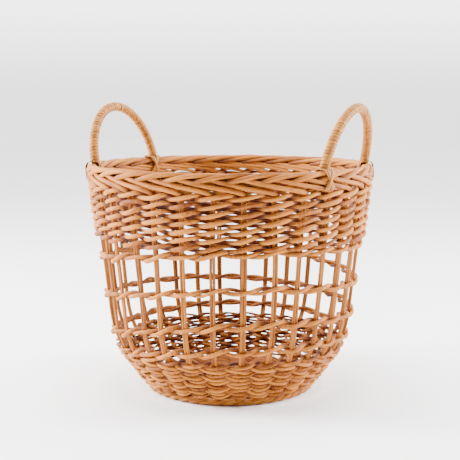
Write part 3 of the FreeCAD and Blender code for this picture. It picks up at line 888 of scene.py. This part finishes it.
# %% [markdown]
# ## Handles
#
# Each handle is a bent rod wound with flat split cane. The bow stands on two legs that go down
# through the border. The cane is a helix round it, wound edge to edge, and its facing is stored
# with the path, so that a second tree can sweep a flat section that always lies on the bow.

# %% Flat strap tree
STRAP_SIDES = 10


def make_strap_tree():
    tree = bpy.data.node_groups.new("Sweep flat cane along paths", "GeometryNodeTree")
    add_inputs(
        tree,
        [
            ("Geometry", "NodeSocketGeometry", None),
            ("Half width", "NodeSocketFloat", 1.9 * MM),
            ("Half thickness", "NodeSocketFloat", 0.45 * MM),
            ("Strap material", "NodeSocketMaterial", None),
        ],
    )
    given = add_node(tree, "NodeGroupInput")
    paths = measured_paths(tree, given.outputs["Geometry"])
    facing = add_node(
        tree, "GeometryNodeInputNamedAttribute", {"Name": "facing"}, data_type="FLOAT_VECTOR"
    )
    turned = add_node(
        tree,
        "GeometryNodeSetCurveNormal",
        {"Curve": paths, "Normal": facing.outputs["Attribute"]},
        mode="FREE",
    )
    size = add_node(
        tree,
        "ShaderNodeCombineXYZ",
        {"X": given.outputs["Half thickness"], "Y": given.outputs["Half width"], "Z": 1.0},
    )
    flat = add_node(
        tree,
        "GeometryNodeTransform",
        {"Geometry": measured_circle(tree, STRAP_SIDES), "Scale": size.outputs["Vector"]},
    )
    strap_material = given.outputs["Strap material"]
    sweep_and_dress(tree, turned.outputs["Curve"], flat.outputs["Geometry"], strap_material)
    return tree


strap_tree = make_strap_tree()
print("strap tree nodes:", len(strap_tree.nodes))


def straps_piece(name, strands, nodes, half_width):
    """Strips of split cane along paths that also say which way they face."""
    mesh = path_mesh(name, strands)
    layer = mesh.attributes.new("facing", "FLOAT_VECTOR", "POINT")
    facing = np.concatenate([strand["facing"] for strand in strands])
    layer.data.foreach_set("vector", facing.astype(np.float32).ravel())
    values = {
        "Half width": half_width,
        "Half thickness": CANE_HALF_THICKNESS,
        "Strap material": split_cane,
    }
    mesh = run_tree(name, mesh, strap_tree, values)
    print(f"{name}: {len(strands)} straps, {len(mesh.polygons)} faces")
    return finish_piece(name, mesh, nodes)


# %% Cane material
# Split cane keeps its hard, smooth skin on the outer face, so it catches more light than peeled
# willow and has few scars. The bent rod inside keeps its bark, which is dark, brown and dull.
split_cane = make_willow(
    "Split cane, glossy skin side out", "#B2752A", "#884E16", "#52290A", 0.45, scarring=0.2
)
handle_core = make_willow("Bent handle rod, barked", "#6A3C16", "#43240C", "#281405", 0.7)

# %% The bow's line
BOW_RADIUS = 70 * MM
BOW_RISE = 67 * MM
LEG_INSET = 2.4 * MM
HANDLE_LEAN = math.radians(12.5)
# The bow's centre lies a little below the top of the border, where its legs stand this far apart.
BOW_SPRING = BORDER_TOP - (BOW_RADIUS - BOW_RISE)
LEG_REACH = math.sqrt(BOW_RADIUS**2 - (BOW_RADIUS - BOW_RISE) ** 2)
BOW_DISTANCE = math.sqrt((BORDER_MIDDLE - LEG_INSET) ** 2 - LEG_REACH**2)
LEG_ANGLE = math.atan2(LEG_REACH, BOW_DISTANCE)
HANDLE_PIVOT = np.array([BOW_DISTANCE, 0.0, BORDER_TOP])
print("handle legs stand %.1f mm apart" % (2 * LEG_REACH * 1000))


def turn_round(points, angle):
    """Turn points about the basket's middle."""
    x, y, z = points[..., 0], points[..., 1], points[..., 2]
    cos, sin = math.cos(angle), math.sin(angle)
    return np.stack([x * cos - y * sin, x * sin + y * cos, z], -1)


def lean_out(points):
    """Tilt points outwards about the level line between a handle's legs."""
    x, y, z = points[..., 0] - HANDLE_PIVOT[0], points[..., 1], points[..., 2] - HANDLE_PIVOT[2]
    cos, sin = math.cos(HANDLE_LEAN), math.sin(HANDLE_LEAN)
    return np.stack([HANDLE_PIVOT[0] + x * cos + z * sin, y, HANDLE_PIVOT[2] + z * cos - x * sin], -1)


# %% The bent rod
CORE_RADIUS = 4.4 * MM
SHOULDER_RADIUS = 2.4 * MM
LEG_TIP_RADIUS = 1.4 * MM
TIP_SAMPLES = 8
LEG_SAMPLES = 4
ARC_SAMPLES = 49
ARC_TRIM = 2


def bow_strand(tip_height):
    """A cut tip down beside the stakes, a leg, the half circle, and the same again."""
    rise = np.linspace(tip_height + 2 * MM, BORDER_TOP - 24 * MM, TIP_SAMPLES)
    tip_radius = wall(rise)[0]
    tip = np.stack([tip_radius * math.cos(LEG_ANGLE), tip_radius * math.sin(LEG_ANGLE), rise], -1)
    leg_heights = np.linspace(BORDER_TOP - 17 * MM, BORDER_TOP - 5 * MM, LEG_SAMPLES)
    leg = np.array([[BOW_DISTANCE, LEG_REACH, height] for height in leg_heights])
    # The arc's ends are left out, so that the rod eases from the leg into the lean.
    sweep = np.linspace(math.pi / 2, -math.pi / 2, ARC_SAMPLES)[ARC_TRIM:-ARC_TRIM]
    distance = np.full(len(sweep), BOW_DISTANCE)
    arc = np.stack([distance, BOW_RADIUS * np.sin(sweep), BOW_SPRING + BOW_RADIUS * np.cos(sweep)], -1)
    half = np.concatenate([tip, leg])
    other = half[::-1] * np.array([1, -1, 1])
    core = np.concatenate([half, lean_out(arc), other])
    tip_sizes = np.full(TIP_SAMPLES, LEG_TIP_RADIUS)
    ends = np.concatenate([tip_sizes, [SHOULDER_RADIUS], np.full(LEG_SAMPLES - 1, CORE_RADIUS)])
    size = np.concatenate([ends, np.full(len(sweep), CORE_RADIUS), ends[::-1]])
    return {"points": core, "thickness": size, "tone": 0.0, "painted_shade": 0.2}


# %% The winding
CANE_HALF_WIDTH = 1.86 * MM
CANE_HALF_THICKNESS = 0.45 * MM
CANE_TURNS = 58
TURN_SAMPLES = 20
CANE_START = 0.8 * MM
CANE_CLEARANCE = 0.25 * MM


def winding_strand():
    """A helix whose pitch and width wander a little, which leaves thin dark gaps."""
    reach = math.asin((BORDER_TOP + CANE_START - BOW_SPRING) / BOW_RADIUS)
    steps = np.linspace(0, 1, CANE_TURNS * TURN_SAMPLES)
    drift = wander(0.25, 1.0)(steps * 9) * np.sin(math.pi * steps)
    swing = (math.pi / 2 - reach) * (2 * steps - 1)
    phase = 2 * math.pi * (CANE_TURNS * steps + drift)
    radial = np.stack([np.zeros_like(swing), np.sin(swing), np.cos(swing)], -1)
    sideways = np.array([1.0, 0.0, 0.0])
    facing = radial * np.cos(phase)[:, None] + sideways * np.sin(phase)[:, None]
    middle = np.array([BOW_DISTANCE, 0, BOW_SPRING]) + BOW_RADIUS * radial
    unevenness = 0.08 * MM * np.sin(phase * 0.5 + steps * 40)
    lift = CORE_RADIUS + CANE_HALF_THICKNESS + CANE_CLEARANCE + unevenness
    return {
        "points": lean_out(middle + facing * lift[:, None]),
        "facing": lean_out(facing + HANDLE_PIVOT) - HANDLE_PIVOT,
        "thickness": 1 + wander(0.045, 1.0, 8)(steps * 14),
        "tone": wander(0.16, 1.0, 8)(steps * 11),
        "painted_shade": 0.0,
    }


# %% Lashing round the border
LASHING_HALF_WIDTH = 1.9 * MM
LASHING_SAMPLES = 48
LASHING_REACH = 8.6 * MM
LASHING_SLANT = 6.4 * MM
LASHING_OVER = 1.6 * MM
SQUARENESS = 0.55


def lashing_strand(angle, lean, step):
    """One closed loop round the border, slanting one way outside and the other way inside."""
    middle = (BORDER_TOP + BORDER_BOTTOM) / 2
    out = LASHING_REACH + 0.5 * MM * step + 0.25 * MM * lean
    tall = (BORDER_TOP - BORDER_BOTTOM) / 2 + LASHING_OVER
    turn = np.linspace(0, 2 * math.pi, LASHING_SAMPLES, endpoint=False)
    # A squared-off ellipse: close to the border's own rounded section.
    across = np.sign(np.cos(turn)) * np.abs(np.cos(turn)) ** SQUARENESS
    up = np.sign(np.sin(turn)) * np.abs(np.sin(turn)) ** SQUARENESS
    slant = lean * (LASHING_SLANT - 3.0 * MM * step) * up
    radius = BORDER_MIDDLE + across * out
    height = middle + up * tall
    place = angle + slant / BORDER_MIDDLE
    points = np.stack([radius * np.cos(place), radius * np.sin(place), height], -1)
    facing = np.stack([across * np.cos(place), across * np.sin(place), up], -1)
    facing = facing / np.linalg.norm(facing, axis=1)[:, None]
    return {
        "points": points,
        "facing": facing,
        "thickness": 1.0 + 0.1 * chance.uniform(-1, 1),
        "tone": chance.uniform(-0.2, 0.2),
        "painted_shade": 0.1,
        "closed": True,
    }


# %% One handle
def make_handle(hand, heading):
    bow_low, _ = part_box(f"handle_{hand}_bow")
    bow = bow_strand(bow_low[2])
    bow["points"] = turn_round(bow["points"], heading)
    rods_piece(f"{hand}_bow", [bow], handle_core, [f"handle_{hand}_bow"], sides=12)

    winding = winding_strand()
    for key in ("points", "facing"):
        winding[key] = turn_round(winding[key], heading)
    lashing = [
        lashing_strand(heading + side * LEG_ANGLE, lean, step)
        for side in (-1, 1)
        for lean in (-1, 1)
        for step in (0, 1)
    ]
    for name, node, strands, half_width in (
        ("winding", "wrap", [winding], CANE_HALF_WIDTH),
        ("lashing", "lashings", lashing, LASHING_HALF_WIDTH),
    ):
        straps_piece(f"{hand}_{name}", strands, [f"handle_{hand}_{node}"], half_width)


# %% Both handles
make_handle("right", 0.0)
make_handle("left", math.pi)

# %% [markdown]
# ## Floor, light and camera
#
# A pale floor and a pale sky stand for a studio's white table. Two large soft lamps stand
# left and right of the basket, level with it or a little behind, and one hangs above. So the sides
# of the basket are bright and its front is a little darker. The camera stands a short way above
# the rim's height and looks slightly down.

# %% Floor
# A matt painted table scatters light evenly and mirrors nothing.
def make_plain(name, colour, roughness):
    material = bpy.data.materials.new(name)
    material.use_nodes = True
    shader = material.node_tree.nodes["Principled BSDF"]
    shader.inputs["Base Color"].default_value = to_linear(colour)
    shader.inputs["Roughness"].default_value = roughness
    return material


FLOOR_HALF = 6.0
floor_corners = [(x * FLOOR_HALF, y * FLOOR_HALF, 0) for x, y in ((-1, -1), (1, -1), (1, 1), (-1, 1))]
floor_mesh = bpy.data.meshes.new("floor")
floor_mesh.from_pydata(floor_corners, [], [(0, 1, 2, 3)])
floor_mesh.materials.append(make_plain("Matt white table", "#FBFAFA", 0.9))
floor = bpy.data.objects.new("floor", floor_mesh)
bpy.context.scene.collection.objects.link(floor)

# %% Light
world = bpy.data.worlds.new("Pale studio")
bpy.context.scene.world = world
world.use_nodes = True
sky = world.node_tree.nodes["Background"]
sky.inputs["Color"].default_value = to_linear("#FFFDFC")
# The studio is bright behind the basket and dim behind the camera. Seen from the camera, it is as
# bright as the table close to the table's edge, so no line shows between them.
compass = add_node(world.node_tree, "ShaderNodeTexCoord")
sky_place = compass.outputs["Generated"]
upness = add_node(world.node_tree, "ShaderNodeSeparateXYZ", {"Vector": sky_place})
away = (-math.sin(VIEW_HEADING), math.cos(VIEW_HEADING), 0)
behind = add_node(world.node_tree, "ShaderNodeVectorMath", {0: sky_place, 1: away}, operation="DOT_PRODUCT")
rising = add_node(
    world.node_tree,
    "ShaderNodeMapRange",
    {"Value": upness.outputs["Z"], "From Min": -0.01, "From Max": 0.12, "To Min": 2.5, "To Max": 5.0},
    interpolation_type="SMOOTHSTEP",
)
dimming = add_node(
    world.node_tree,
    "ShaderNodeMapRange",
    {"Value": behind.outputs["Value"], "From Min": -0.4, "From Max": 0.5, "To Min": 0.1, "To Max": 1.0},
    interpolation_type="SMOOTHSTEP",
)
glow = add_node(
    world.node_tree,
    "ShaderNodeMath",
    {0: rising.outputs["Result"], 1: dimming.outputs["Result"]},
    operation="MULTIPLY",
)
world.node_tree.links.new(glow.outputs[0], sky.inputs["Strength"])


# %% Lamps
LAMP_TARGET = (0, 0, 0.15)


def aim(thing, target):
    """Turn a thing so that it faces a point."""
    line = np.array(target) - np.array(thing.location)
    thing.rotation_euler = Vector(line).to_track_quat("-Z", "Y").to_euler()


def around_view(side, back, up):
    """A point given as steps to the right of the view, towards the camera and up."""
    right = np.array([math.cos(VIEW_HEADING), math.sin(VIEW_HEADING), 0])
    towards = np.array([math.sin(VIEW_HEADING), -math.cos(VIEW_HEADING), 0])
    return tuple(right * side + towards * back + np.array([0, 0, up]))


def add_lamp(name, place, size, watts):
    lamp = bpy.data.lights.new(name, "AREA")
    lamp.shape = "DISK"
    lamp.size = size
    lamp.energy = watts
    holder = bpy.data.objects.new(name, lamp)
    holder.location = place
    aim(holder, LAMP_TARGET)
    bpy.context.scene.collection.objects.link(holder)
    print(f"{name}: {watts} W")


add_lamp("left lamp", around_view(-1.6, -0.1, 0.8), 0.8, 125)
add_lamp("right lamp", around_view(1.6, -0.2, 0.75), 0.8, 78)
add_lamp("top lamp", around_view(0.0, 0.1, 2.0), 0.9, 36)

# %% Camera
CAMERA_DISTANCE = 1.2154
CAMERA_HEIGHT = 0.3488
CAMERA_PITCH = math.radians(7.56)
CAMERA_LENS = 80
CAMERA_SENSOR = 36
print("camera %.2f m away and %.2f m up" % (CAMERA_DISTANCE, CAMERA_HEIGHT))
camera_data = bpy.data.cameras.new("camera")
camera_data.lens = CAMERA_LENS
camera_data.sensor_width = CAMERA_SENSOR
camera = bpy.data.objects.new("camera", camera_data)
camera.location = around_view(0, CAMERA_DISTANCE, CAMERA_HEIGHT)
camera.rotation_euler = (math.pi / 2 - CAMERA_PITCH, 0, VIEW_HEADING)
bpy.context.scene.collection.objects.link(camera)
bpy.context.scene.camera = camera
